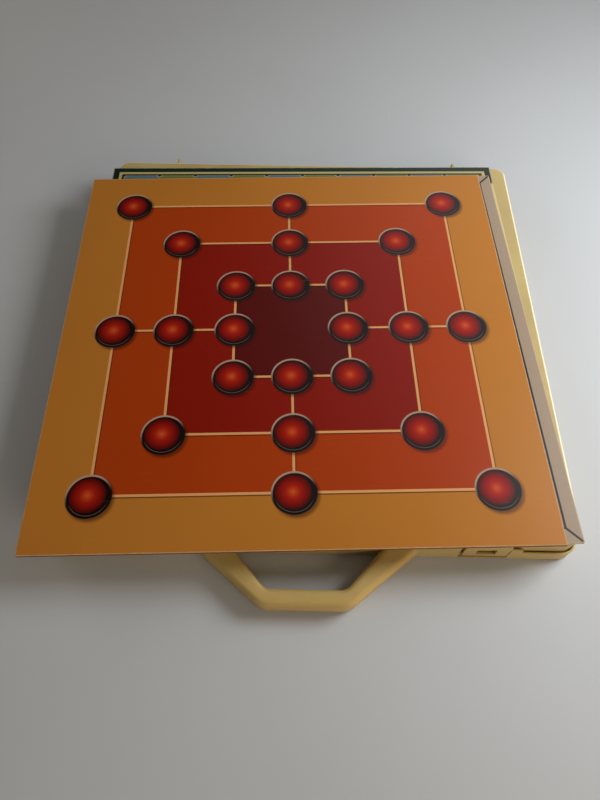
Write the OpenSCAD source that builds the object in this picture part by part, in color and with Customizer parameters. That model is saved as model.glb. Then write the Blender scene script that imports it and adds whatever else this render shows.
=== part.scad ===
// Carrying case for board games, closed and lying flat, with three loose game boards
// stacked on its lid. The top board is a nine men's morris board.
// Millimetres. The origin is the centre of the case's underside. +X runs to the right,
// +Y from the handle to the hinges and +Z up.

/* [Case] */
// Outer width of the lid
lid_w = 309.5; // [300:0.5:330]
// Outer depth of the lid, front to back
lid_d = 310.8; // [302:0.2:330]
// Height of the closed case
case_h = 24; // [23:0.5:34]
// Thickness of the lid's side walls
lid_wall = 2; // [1.4:0.1:2.6]
// Thickness of the lid's roof
lid_roof = 2; // [1.4:0.1:3]
// Corner radius of the lid
lid_r = 8; // [6:0.5:12]
// Rounding of the lid's top edge
lid_edge_r = 2; // [1:0.1:3]
// Thickness of the base's floor
floor_t = 2; // [1.4:0.1:2.4]
// Height of the rim round the base
rim_h = 10; // [8:0.5:11]
// Thickness of the rim
rim_wall = 1.4; // [1.4:0.1:2.4]
// Gap between the lid's skirt and the rim
rim_gap = 0.7; // [0.6:0.1:1.4]
// Rounding of the base's bottom edge
base_edge_r = 1.5; // [0.5:0.1:1.9]
// Clearance under the lid's skirt
seat_gap = 0.3; // [0.2:0.05:0.6]

/* [Handle] */
// How far the handle stands out of the front wall
handle_reach = 33.2; // [28:0.1:40]
// Height of the handle, bottom to top
handle_h = 13.5; // [10:0.5:16]
// Width of the bar between the legs
grip_w = 10; // [8.5:0.5:12]
// Length of the bar's inner side, from leg to leg
grip_inside = 45; // [38:0.5:60]
// Length of the bar's outer side, from leg to leg
grip_outside = 49.5; // [44:0.5:62]
// Radius of a bend on its inner side
bend_inner_r = 8; // [5:0.5:10]
// Radius of a bend on its outer side
bend_outer_r = 14; // [10:0.5:18]
// Distance between the two legs at the wall
root_span = 86; // [80:1:100]
// Width of a leg along the wall
leg_w = 21.3; // [18:0.1:24]
// Rounding of the bar's long edges
handle_edge_r = 3.4; // [1.5:0.1:4]
// Height of the handle's underside over the table
handle_lift = 0.5; // [0:0.1:2]

/* [Latches] */
// Distance from the middle of each latch to the side of the lid
latch_inset = 51.45; // [46:0.05:58]
// Width of a latch
latch_w = 26; // [20:0.5:30]
// Thickness of a latch
latch_t = 1.4; // [1.2:0.1:1.4]
// Height of a latch's top edge
latch_top = 21; // [20:0.5:22.5]
// Slit between a latch and the raised front wall
latch_slit = 2; // [0.6:0.1:3]
// Slit between a latch and its outer foot
latch_foot_slit = 0.5; // [0.4:0.1:1]
// Height of the latch's axis
latch_axis_z = 5; // [4.6:0.1:5.4]
// Radius of the barrel at the latch's foot
latch_barrel_r = 1.7; // [1.6:0.05:2]
// Radius of the latch's pivots
latch_pivot_r = 1; // [0.8:0.05:1.1]
// Length of each pivot inside its foot
latch_pivot_len = 2.6; // [1.5:0.1:4]
// Running clearance round a pivot or a hinge pin
run_gap = 0.06; // [0.03:0.01:0.1]
// Clearance between the barrel and the notch in the lid's skirt
barrel_gap = 0.3; // [0.3:0.05:0.5]
// Width of the window in a latch
window_w = 11; // [8:0.5:14]
// Height of the window
window_h = 8; // [5:0.5:8]
// Web between the barrel and the window
window_web = 0.5; // [0.3:0.1:1.5]
// Height of the finger lip along a latch's top
lip_h = 4; // [2:0.1:4]
// How far the finger lip stands out
lip_out = 0.8; // [0.4:0.1:1.6]
// Width of each foot that carries a pivot
foot_w = 6.5; // [5:0.5:7]
// Height of the outer foot
foot_h = 15; // [12:0.5:17]
// Height of the raised front wall
block_h = 20; // [16:0.5:21.5]
// Clearance between the lid's nib and the latch
nib_gap = 0.3; // [0.25:0.05:0.35]
// Height of the nib
nib_h = 7; // [3:0.5:7]

/* [Hinges] */
// Distance from each hinge to the side of the lid
hinge_inset = 43.35; // [36:0.05:60]
// How far both hinges lie to the right of their places about the middle
hinge_shift = 3.2; // [-5:0.1:5]
// Height of the hinge axis
hinge_z = 12; // [11.4:0.1:12.6]
// Radius of the hinge eyes
eye_r = 4; // [3.4:0.1:4.4]
// Radius of the hinge pin
pin_r = 1.5; // [1:0.1:1.8]
// Thickness of the lid's lug
lug_t = 1.6; // [1.5:0.1:3]
// Thickness of each ear on the base
ear_t = 2.5; // [2:0.1:4]
// Side clearance between lug and ear
ear_gap = 0.3; // [0.2:0.05:0.5]
// Clearance between the eye and the rim
eye_gap = 0.4; // [0.3:0.05:0.6]
// Radius of the pin's head
pin_head_r = 2.3; // [2.1:0.1:3]
// Thickness of the pin's head
pin_head_t = 0.9; // [0.5:0.1:1.5]
// Angle at which the toe of the lug stops the lid
open_max = 110; // [100:1:120]
// Radius of the toe's nose
toe_r = 1; // [0.8:0.1:1.2]
// Rounding of the lug's upper corner
lug_corner_r = 2; // [1:0.1:2.5]
// How far the lug's top lies below the lid's
lug_drop = 1.2; // [0.8:0.1:2.5]

/* [Insert tray] */
// Height of the tray
tray_h = 12; // [9:0.5:13]
// Wall of the formed tray
tray_t = 1.2; // [0.8:0.1:1.6]
// Clearance between the tray and the lid
tray_gap = 0.5; // [0.3:0.1:1]
// Land between the tray's edge and its wells
edge_land = 5; // [3.5:0.5:7]
// Land between neighbouring wells
well_land = 6; // [4:0.5:9]
// Corner radius of the square wells
well_r = 6; // [3:0.5:10]
// How far the scallops of a row of men reach beyond its channel
scallop = 3.2; // [2:0.1:4]

/* [Men] */
// Diameter of a man
man_d = 22; // [18:0.5:24]
// Height of a man
man_h = 5.5; // [4:0.5:7]
// Clearance round a man in its well
man_gap = 0.4; // [0.3:0.05:0.8]
// Width of the raised ring on a man
man_ring = 2.2; // [1.5:0.1:3]
// Depth of the dish inside the ring
man_dish = 0.6; // [0.3:0.1:1]
// Rounding of a man's edge
man_edge = 0.7; // [0.3:0.1:1]
// Radius of the button in the middle of a man
man_button_r = 3.2; // [2:0.1:4.5]

/* [Boards] */
// Width of a board
board_w = 300; // [280:1:306]
// Depth of a board
board_d = 298; // [280:1:306]
// Thickness of a board
board_t = 2; // [1.2:0.1:3]
// Corner radius of a board
board_r = 0.6; // [0.5:0.1:3]
// Place of the lowest board
low_board_at = [-3.3, 0.4];
// Turn of the lowest board in degrees
low_board_turn = 1.7; // [-3:0.1:3]
// Place of the middle board
mid_board_at = [-3.4, -14.3];
// Turn of the middle board in degrees
mid_board_turn = 2.6; // [-3:0.1:3]
// Place of the top board
top_board_at = [-13.3, -16];
// Turn of the top board in degrees
top_board_turn = 2.4; // [-3:0.1:3]

/* [Hidden] */
men_a_side = 9;
round_fn = 72;
eps = 0.5;
cream = [0.90, 0.82, 0.56];

rim_w = lid_w + 2 * (rim_gap + rim_wall);
rim_d = lid_d + 2 * (rim_gap + rim_wall);
rim_r = lid_r + rim_gap + rim_wall;
rim_front = -rim_d / 2;
rim_back = rim_d / 2;
lid_front = -lid_d / 2;
lid_back = lid_d / 2;
skirt_z = floor_t + seat_gap;

outer_y = rim_front - handle_reach;
inner_y = outer_y + grip_w;
inner_turn = atan2(rim_front - inner_y, (root_span - grip_inside) / 2);
outer_turn = atan2(rim_front - outer_y, root_span / 2 + leg_w - grip_outside / 2);
grip_z = handle_lift + handle_h / 2;
bend_steps = 10;
edge_steps = 8;

latch_x = lid_w / 2 - latch_inset;
latch_axis_y = rim_front + latch_barrel_r;
latch_in = latch_x - latch_w / 2;
latch_out = latch_x + latch_w / 2;
slit_in = latch_in - latch_slit;
slit_out = latch_out + latch_foot_slit;
window_z = latch_axis_z + latch_barrel_r + window_web;
relief_in = slit_in - foot_w - barrel_gap;
relief_out = slit_out + foot_w + barrel_gap;
relief_top = latch_axis_z + latch_barrel_r + barrel_gap;
nib_out = rim_wall + rim_gap - latch_t - nib_gap;
nib_play = 0.5;

hinge_x = lid_w / 2 - hinge_inset;
hinge_y = rim_back + eye_gap + eye_r;
stop_gap = 0.12;
back_gap = 0.4;
toe_meets = 30;
toe_at = (eye_gap + eye_r - stop_gap - toe_r) / cos(toe_meets);
toe_turn = open_max - 180 + toe_meets;
lug_low = rim_h + back_gap;
lug_top = case_h - lug_drop;
hinge_half = lug_t / 2 + ear_gap + ear_t;

tray_w = lid_w - 2 * (lid_wall + tray_gap);
tray_d = lid_d - 2 * (lid_wall + tray_gap);
tray_r = max(lid_r - lid_wall - tray_gap, 1);

// The skirt along the back ends where its inner edge still swings clear of the tray
swing_gap = 0.2;
swing_r = hinge_y - tray_d / 2 - swing_gap;
swing_y = hinge_y - lid_back + lid_wall;
back_edge_z = max(lug_low, hinge_z - sqrt(max(swing_r ^ 2 - swing_y ^ 2, 0)));

well_man_r = man_d / 2 + man_gap;
man_pitch = 2 * well_man_r;
row_x = tray_w / 2 - edge_land - well_man_r;
mid_well_w = 2 * (row_x - well_man_r - well_land);
mid_well_d = (tray_d - 2 * edge_land - well_land) / 2;

// Air under each board, which never lies quite flat on what is under it
lay_gap = 0.02;

// A rectangle with round corners, centred
module round_rect(w, d, r) {
    square([w - 2 * r, d], center = true);
    square([w, d - 2 * r], center = true);
    for (sx = [-1, 1], sy = [-1, 1])
        translate([sx * (w / 2 - r), sy * (d / 2 - r)])
            circle(r, $fn = round_fn);
}

// Sweeps a profile round a rounded rectangle. The profile's x is measured outwards
// from the centres of the corners, so the outline lies at x = r.
module sweep_round(w, d, r) {
    x = w / 2 - r;
    y = d / 2 - r;
    for (c = [[x, y, 0], [-x, y, 90], [-x, -y, 180], [x, -y, 270]])
        translate([c[0], c[1], 0])
            rotate([0, 0, c[2]])
                rotate_extrude(angle = 90, $fn = round_fn)
                    children();
    for (s = [[x, 0, 0, 2 * y], [0, y, 90, 2 * x], [-x, 0, 180, 2 * y], [0, -y, 270, 2 * x]])
        translate([s[0], s[1], 0])
            rotate([0, 0, s[2]])
                rotate([90, 0, 0])
                    linear_extrude(s[3], center = true)
                        children();
}

// Extrudes a profile drawn in (y, z) along X, centred on x
module along_x(x, length) {
    translate([x - length / 2, 0, 0])
        rotate([90, 0, 90])
            linear_extrude(length)
                children();
}

// Mirrors a piece to the left side, where side is -1
module on_side(side) {
    if (side < 0)
        mirror([1, 0, 0])
            children();
    else
        children();
}

// A square with one rounded corner at its upper right
module soft_corner(x0, z0, x1, z1, r) {
    translate([x0, z0])
        square([x1 - x0 - r, z1 - z0]);
    translate([x0, z0])
        square([x1 - x0, z1 - z0 - r]);
    translate([x1 - r, z1 - r])
        intersection() {
            circle(r, $fn = round_fn);
            square(r);
        }
}

// Floor and rim of the base, seen in section
module rim_profile() {
    mirror([0, 1])
        soft_corner(0, -floor_t, rim_r, 0, base_edge_r);
    translate([rim_r - rim_wall, floor_t / 2])
        square([rim_wall, rim_h - rim_wall / 2 - floor_t / 2]);
    translate([rim_r - rim_wall / 2, rim_h - rim_wall / 2])
        circle(rim_wall / 2, $fn = round_fn);
}

// Section of a raised part of the front wall, with a round top
module wall_profile(h) {
    translate([rim_front, floor_t / 2])
        square([rim_wall, h - rim_wall / 2 - floor_t / 2]);
    translate([rim_front + rim_wall / 2, h - rim_wall / 2])
        circle(rim_wall / 2, $fn = round_fn);
}

// The raised front wall between the latches
module front_block() {
    along_x(0, 2 * slit_in)
        wall_profile(block_h);
}

// Wall that carries one pivot of a latch, with its bearing on the inside
module latch_foot(x, h) {
    along_x(x, foot_w) {
        wall_profile(h);
        translate([latch_axis_y, latch_axis_z])
            circle(latch_barrel_r, $fn = round_fn);
        translate([rim_front, floor_t / 2])
            square([2 * latch_barrel_r, latch_axis_z - floor_t / 2]);
    }
}

// Repeats a piece, drawn about x = 0, at both hinges
module at_hinges() {
    for (side = [-1, 1])
        translate([hinge_place(side), 0, 0])
            children();
}

function hinge_place(side) = side * hinge_x + hinge_shift;

// The two ears behind the rim that hold a hinge pin
module hinge_ears() {
    for (s = [-1, 1])
        along_x(s * (lug_t + 2 * ear_gap + ear_t) / 2, ear_t)
            union() {
                translate([hinge_y, hinge_z])
                    circle(eye_r, $fn = round_fn);
                polygon([
                    [rim_back - rim_wall / 2, base_edge_r],
                    [rim_back - rim_wall / 2, rim_h - rim_wall / 2],
                    [hinge_y - eye_r, hinge_z],
                    [hinge_y + eye_r, hinge_z],
                    [rim_back + eye_r / 2, base_edge_r],
                ]);
            }
}

module base_shell() {
    color(cream)
    difference() {
        union() {
            sweep_round(rim_w, rim_d, rim_r)
                rim_profile();
            translate([0, 0, floor_t / 2])
                cube([rim_w - 2 * rim_r, rim_d - 2 * rim_r, floor_t], center = true);
            front_block();
            for (side = [-1, 1])
                on_side(side) {
                    latch_foot(slit_in - foot_w / 2, block_h);
                    latch_foot(slit_out + foot_w / 2, foot_h);
                }
            at_hinges()
                hinge_ears();
        }
        // Holes for the hinge pins
        at_hinges()
            translate([-hinge_half - eps, hinge_y, hinge_z])
                rotate([0, 90, 0])
                    cylinder(h = 2 * (hinge_half + eps), r = pin_r + run_gap, $fn = round_fn);
        for (side = [-1, 1])
            on_side(side) {
                // Notch in the rim for the latch
                translate([slit_in, latch_axis_y - latch_barrel_r - eps, floor_t])
                    cube([slit_out - slit_in, 2 * latch_barrel_r + 2 * eps, foot_h]);
                // Holes for the latch's pivots
                translate([slit_in - latch_pivot_len - nib_play, latch_axis_y, latch_axis_z])
                    rotate([0, 90, 0])
                        cylinder(
                            h = slit_out - slit_in + 2 * (latch_pivot_len + nib_play),
                            r = latch_pivot_r + run_gap, $fn = round_fn);
            }
    }
}

// The bar's section as points: how far each lies from the inner side, as a share of the
// bar's width and as a part of the edge's rounding, and its height over the middle
function bar_section() = [
    for (q = [0:3], k = [0:edge_steps])
        let (
            turn = 90 * (q + k / edge_steps),
            outer = q == 0 || q == 3 ? 1 : 0,
            up = q < 2 ? 1 : -1
        )
        [
            outer,
            (1 - 2 * outer + cos(turn)) * handle_edge_r,
            up * (handle_h / 2 - handle_edge_r) + handle_edge_r * sin(turn)
        ]
];

// The bar's path from the left root to the right one: a point on its inner side, the one
// across from it on its outer side, and how much longer than square the wall cuts it
function bar_path() = concat(
    [bar_root(-1)],
    [for (k = [-bend_steps:0]) bar_station(-1, k / bend_steps)],
    [for (k = [0:bend_steps]) bar_station(1, k / bend_steps)],
    [bar_root(1)]
);

function bar_root(side) = [
    [side * root_span / 2, rim_front],
    [side * (root_span / 2 + leg_w), rim_front],
    1 / sin((inner_turn + outer_turn) / 2)
];

// A place along a bend, from 0 where the leg ends to 1 or -1 where the other side starts
function bar_station(side, share) = [
    bend_point(side, share, grip_inside, inner_y, bend_inner_r, inner_turn),
    bend_point(side, share, grip_outside, outer_y, bend_outer_r, outer_turn),
    1
];

function bend_point(side, share, span, y, r, turn) = [
    side * (span / 2 - r * tan(turn / 2)) + r * sin(turn * share),
    y + r * (1 - cos(turn * share))
];

// Where a section's point q lies in plan at the path's place p
function bar_plan(p, q) =
    let (across = p[1] - p[0], length = norm(across))
    p[0] + across / length * (q[0] * length + q[1] * p[2]);

module handle() {
    section = bar_section();
    path = bar_path();
    n = len(section);
    m = len(path);
    color(cream)
    polyhedron(
        points = [for (p = path, q = section) [bar_plan(p, q)[0], bar_plan(p, q)[1], grip_z + q[2]]],
        faces = concat(
            [[for (k = [0:n - 1]) n - 1 - k]],
            [for (i = [0:m - 2], k = [0:n - 1])
                [i * n + k, i * n + (k + 1) % n, (i + 1) * n + (k + 1) % n, (i + 1) * n + k]],
            [[for (k = [0:n - 1]) (m - 1) * n + k]]
        )
    );
}

// Wall and roof of the lid, seen in section
module lid_profile() {
    difference() {
        soft_corner(0, skirt_z, lid_r, case_h, lid_edge_r);
        translate([-eps, skirt_z - eps])
            square([lid_r - lid_wall + eps, case_h - lid_roof - skirt_z + eps]);
    }
}

// The lug behind the lid: an eye for the pin, an arm to the wall and a toe that
// meets the rim when the lid is fully open
module hinge_lug() {
    along_x(0, lug_t)
        difference() {
            union() {
                translate([hinge_y, hinge_z])
                    circle(eye_r, $fn = round_fn);
                translate([hinge_y, hinge_z])
                    rotate(toe_turn)
                        translate([toe_at, 0])
                            circle(toe_r, $fn = round_fn);
                translate([hinge_y - lug_corner_r / 2, lug_top - lug_corner_r])
                    circle(lug_corner_r, $fn = round_fn);
                polygon([
                    [lid_back - lid_wall / 2, lug_low],
                    [lid_back - lid_wall / 2, lug_top],
                    [hinge_y - lug_corner_r / 2, lug_top],
                    [hinge_y + lug_corner_r / 2, lug_top - lug_corner_r],
                    [hinge_y + eye_r, hinge_z],
                    [hinge_y, lug_low],
                ]);
            }
            translate([hinge_y, hinge_z])
                circle(pin_r + run_gap, $fn = round_fn);
        }
}

// The nib on the front of the lid that a latch's window closes over
module lid_nib() {
    top = window_z + window_h - nib_play;
    along_x(latch_x, window_w - 2 * nib_play)
        polygon([
            [lid_front + lid_wall / 2, top],
            [lid_front - nib_out, top],
            [lid_front - nib_out, top - nib_h / 3],
            [lid_front, top - nib_h],
            [lid_front + lid_wall / 2, top - nib_h],
        ]);
}

module lid_shell() {
    color(cream)
    union() {
        difference() {
            sweep_round(lid_w, lid_d, lid_r)
                lid_profile();
            translate([-lid_w / 2 - eps, lid_back - lid_r, skirt_z - eps])
                cube([lid_w + 2 * eps, lid_r + eps, back_edge_z - skirt_z + eps]);
            // Notches in the skirt for the latches' barrels and bearings
            for (side = [-1, 1])
                on_side(side)
                    translate([relief_in, lid_front - eps, skirt_z - eps])
                        cube([relief_out - relief_in, lid_wall + 2 * eps, relief_top - skirt_z + eps]);
        }
        translate([0, 0, case_h - lid_roof / 2])
            cube([lid_w - 2 * lid_r, lid_d - 2 * lid_r, lid_roof], center = true);
        at_hinges()
            hinge_lug();
        for (side = [-1, 1])
            on_side(side)
                lid_nib();
    }
}

// A latch: a plate with a window and a finger lip, on a barrel with two pivots
module latch(side) {
    lip_top = latch_top - latch_t / 2;
    color(cream)
    on_side(side)
        difference() {
            union() {
                along_x(latch_x, latch_w) {
                    translate([latch_axis_y, latch_axis_z])
                        circle(latch_barrel_r, $fn = round_fn);
                    translate([rim_front, latch_axis_z])
                        square([latch_t, lip_top - latch_axis_z]);
                    translate([rim_front + latch_t / 2, lip_top])
                        circle(latch_t / 2, $fn = round_fn);
                    polygon([
                        [rim_front + latch_t / 2, lip_top - lip_h],
                        [rim_front, lip_top - lip_h],
                        [rim_front - lip_out, lip_top - lip_h * 3 / 4],
                        [rim_front, lip_top],
                        [rim_front + latch_t / 2, lip_top],
                    ]);
                }
                translate([slit_in - latch_pivot_len, latch_axis_y, latch_axis_z])
                    rotate([0, 90, 0])
                        cylinder(
                            h = slit_out - slit_in + 2 * latch_pivot_len,
                            r = latch_pivot_r, $fn = round_fn);
            }
            translate([latch_x - window_w / 2, latch_axis_y - latch_barrel_r - eps, window_z])
                cube([window_w, 2 * (latch_barrel_r + eps), window_h]);
        }
}

// A pin with one head, pushed through the ears and the lug from the right
module hinge_pin(side) {
    color([0.78, 0.70, 0.46])
    translate([hinge_place(side) - hinge_half, hinge_y, hinge_z])
        rotate([0, 90, 0]) {
            cylinder(h = 2 * hinge_half, r = pin_r, $fn = round_fn);
            translate([0, 0, 2 * hinge_half])
                cylinder(h = pin_head_t, r = pin_head_r, $fn = round_fn);
        }
}

// Outline of the channel for one row of men: a straight channel with a round
// scallop for each man
module men_outline(r) {
    for (i = [1:men_a_side])
        translate([0, row_place(i)])
            circle(r, $fn = round_fn);
    square([2 * (r - scallop), man_pitch * (men_a_side - 1)], center = true);
}

// Place of a man along its row
function row_place(i) = (i - (men_a_side + 1) / 2) * man_pitch;

module insert_tray() {
    deck_z = tray_h - tray_t;
    color([0.93, 0.91, 0.84])
    translate([0, 0, floor_t])
        difference() {
            union() {
                difference() {
                    linear_extrude(tray_h)
                        round_rect(tray_w, tray_d, tray_r);
                    translate([0, 0, -eps])
                        linear_extrude(deck_z + eps)
                            round_rect(tray_w - 2 * tray_t, tray_d - 2 * tray_t,
                                max(tray_r - tray_t, eps));
                }
                linear_extrude(tray_h) {
                    for (s = [-1, 1]) {
                        translate([s * row_x, 0])
                            men_outline(well_man_r + tray_t);
                        translate([0, s * (mid_well_d + well_land) / 2])
                            round_rect(mid_well_w + 2 * tray_t, mid_well_d + 2 * tray_t,
                                well_r + tray_t);
                    }
                }
            }
            translate([0, 0, tray_t])
                linear_extrude(tray_h) {
                    for (s = [-1, 1]) {
                        translate([s * row_x, 0])
                            men_outline(well_man_r);
                        translate([0, s * (mid_well_d + well_land) / 2])
                            round_rect(mid_well_w, mid_well_d, well_r);
                    }
                }
        }
}

// Half of a man's section: a body with soft edges, a ring and a button on both faces
module man_profile() {
    r = man_d / 2;
    dish_r = r - man_ring;
    difference() {
        polygon([
            [0, 0],
            [r - man_edge, 0],
            [r, man_edge],
            [r, man_h - man_edge],
            [r - man_edge, man_h],
            [0, man_h],
        ]);
        for (z = [0, man_h - man_dish])
            translate([man_button_r, z])
                square([dish_r - man_button_r, man_dish]);
    }
}

module man(side, i) {
    color(side < 0 ? [0.92, 0.88, 0.76] : [0.13, 0.11, 0.10])
    translate([side * row_x, row_place(i), floor_t + tray_t])
        rotate_extrude($fn = round_fn)
            man_profile();
}

// A board on level n of the stack
module board(n, at, turn) {
    translate([at[0], at[1], case_h + lay_gap + n * (board_t + lay_gap)])
        rotate([0, 0, turn])
            linear_extrude(board_t)
                round_rect(board_w, board_d, board_r);
}

module draughts_board() {
    color([0.10, 0.22, 0.16])
        board(0, low_board_at, low_board_turn);
}

module framed_board() {
    color([0.70, 0.61, 0.54])
        board(1, mid_board_at, mid_board_turn);
}

module morris_board() {
    color([0.80, 0.52, 0.20])
        board(2, top_board_at, top_board_turn);
}

base_shell();
handle();
insert_tray();
lid_shell();
latch(-1);  // latch_left
latch(1);  // latch_right
hinge_pin(-1);  // hinge_pin_left
hinge_pin(1);  // hinge_pin_right
for (i = [1:men_a_side]) {
    man(-1, i);
    man(1, i);
}
draughts_board();
framed_board();
morris_board();
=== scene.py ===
"""Looks of a flat plastic carrying case with three loose game boards on its lid.

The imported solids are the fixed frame. The shells are shown as copies with softened edges, the
handle, the boards and the men are made anew where their solids lie, and every finish is a node
material. Lengths in the classes are in millimetres and are turned to metres when a mesh is made.
"""

from __future__ import annotations

import logging
import math
from dataclasses import dataclass
from enum import Enum
from typing import Callable, Sequence, Union

import bmesh
import bpy
from mathutils import Matrix, Vector


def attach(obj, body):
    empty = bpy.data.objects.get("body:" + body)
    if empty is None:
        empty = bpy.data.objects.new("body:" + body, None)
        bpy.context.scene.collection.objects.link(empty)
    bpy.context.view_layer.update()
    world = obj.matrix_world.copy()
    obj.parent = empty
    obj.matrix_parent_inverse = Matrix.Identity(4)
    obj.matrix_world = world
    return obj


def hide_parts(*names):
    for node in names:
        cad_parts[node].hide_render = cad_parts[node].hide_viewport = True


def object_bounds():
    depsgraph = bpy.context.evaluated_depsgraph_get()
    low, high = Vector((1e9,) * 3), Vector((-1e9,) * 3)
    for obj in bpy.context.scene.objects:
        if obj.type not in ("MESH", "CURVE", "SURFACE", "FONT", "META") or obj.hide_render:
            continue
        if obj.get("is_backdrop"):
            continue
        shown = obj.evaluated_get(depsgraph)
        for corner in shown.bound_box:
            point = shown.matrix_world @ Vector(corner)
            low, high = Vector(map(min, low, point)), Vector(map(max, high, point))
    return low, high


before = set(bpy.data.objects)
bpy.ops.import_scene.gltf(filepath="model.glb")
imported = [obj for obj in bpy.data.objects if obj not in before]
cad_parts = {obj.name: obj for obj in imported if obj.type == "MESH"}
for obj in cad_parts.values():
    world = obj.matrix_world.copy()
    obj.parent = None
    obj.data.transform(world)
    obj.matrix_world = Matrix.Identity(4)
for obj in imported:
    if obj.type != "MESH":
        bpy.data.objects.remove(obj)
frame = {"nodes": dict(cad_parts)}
CAD_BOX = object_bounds()

MM = 0.001
TOUCH = 1e-6
Colour = tuple[float, float, float]

logging.basicConfig(level=logging.INFO, format="%(message)s")
log = logging.getLogger("case")


def ink(red: int, green: int, blue: int) -> Colour:
    """Turns a colour on the 0 to 255 scale of a screen into linear light.

    Args:
        red: Red, 0 to 255.
        green: Green, 0 to 255.
        blue: Blue, 0 to 255.

    Returns:
        The colour's three linear parts, 0 to 1.
    """
    parts = (v / 255 for v in (red, green, blue))
    return tuple(v / 12.92 if v <= 0.04045 else ((v + 0.055) / 1.055) ** 2.4 for v in parts)


class Blend(Enum):
    """How two colours are joined."""

    MIX = "MIX"
    DARKEN = "MULTIPLY"


class Side(Enum):
    """Left or right of the case, as the sign of X."""

    LEFT = -1
    RIGHT = 1


class Level(Enum):
    """Place of a board in the stack, counted from the lid."""

    LOW = 0
    MIDDLE = 1
    TOP = 2


def operator(operation: str, swapped: bool = False) -> Callable[..., Value]:
    """Makes a method of Value that adds a Math node.

    Args:
        operation: The node's operation.
        swapped: Whether the value is the node's last input and not its first.

    Returns:
        The method, which takes the node's other inputs.
    """
    def method(self: Value, *others: Operand) -> Value:
        """Returns the node's result."""
        return self.tree.math(operation, *((*others, self) if swapped else (self, *others)))

    return method


class Value:
    """A node's output on which Python's operators and these methods add Math nodes."""

    def __init__(self, tree: Tree, socket: bpy.types.NodeSocket) -> None:
        """Keeps the tree and the output socket."""
        self.tree = tree
        self.socket = socket

    __add__ = __radd__ = operator("ADD")
    __mul__ = __rmul__ = operator("MULTIPLY")
    __sub__ = operator("SUBTRACT")
    __rsub__ = operator("SUBTRACT", swapped=True)
    __truediv__ = operator("DIVIDE")
    __abs__ = operator("ABSOLUTE")
    least = operator("MINIMUM")
    most = operator("MAXIMUM")
    below = operator("LESS_THAN")
    above = operator("GREATER_THAN")
    round = operator("ROUND")
    floor = operator("FLOOR")
    modulo = operator("MODULO")
    fold = operator("PINGPONG")
    root = operator("SQRT")
    sign = operator("SIGN")
    sine = operator("SINE")
    cosine = operator("COSINE")

    def length(self, other: Value) -> Value:
        """Returns the length of the line whose two parts are this value and the other."""
        return (self * self + other * other).root()

    def step(self, low: float, high: float) -> Value:
        """Rises smoothly from 0 at low to 1 at high, or falls where low is the larger.

        Args:
            low: The value at which the result is 0.
            high: The value at which the result is 1.

        Returns:
            The smooth step.
        """
        turned = low > high
        first, last = (high, low) if turned else (low, high)
        return self.tree.value(
            "ShaderNodeMapRange", {"interpolation_type": "SMOOTHSTEP", "clamp": True},
            {"Value": self, "From Min": first, "From Max": last,
             "To Min": int(turned), "To Max": int(not turned)})

    def band(self, middle: float, half: float, soft: float) -> Value:
        """Is 1 within half of middle and falls to 0 over soft on both sides."""
        return abs(self - middle).step(half + soft / 2, half - soft / 2)


Operand = Union[Value, float]
Input = Union[Value, float, Sequence[float], bpy.types.Node, bpy.types.NodeSocket, bpy.types.ID]
Inputs = dict[Union[str, int], Input]


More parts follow.
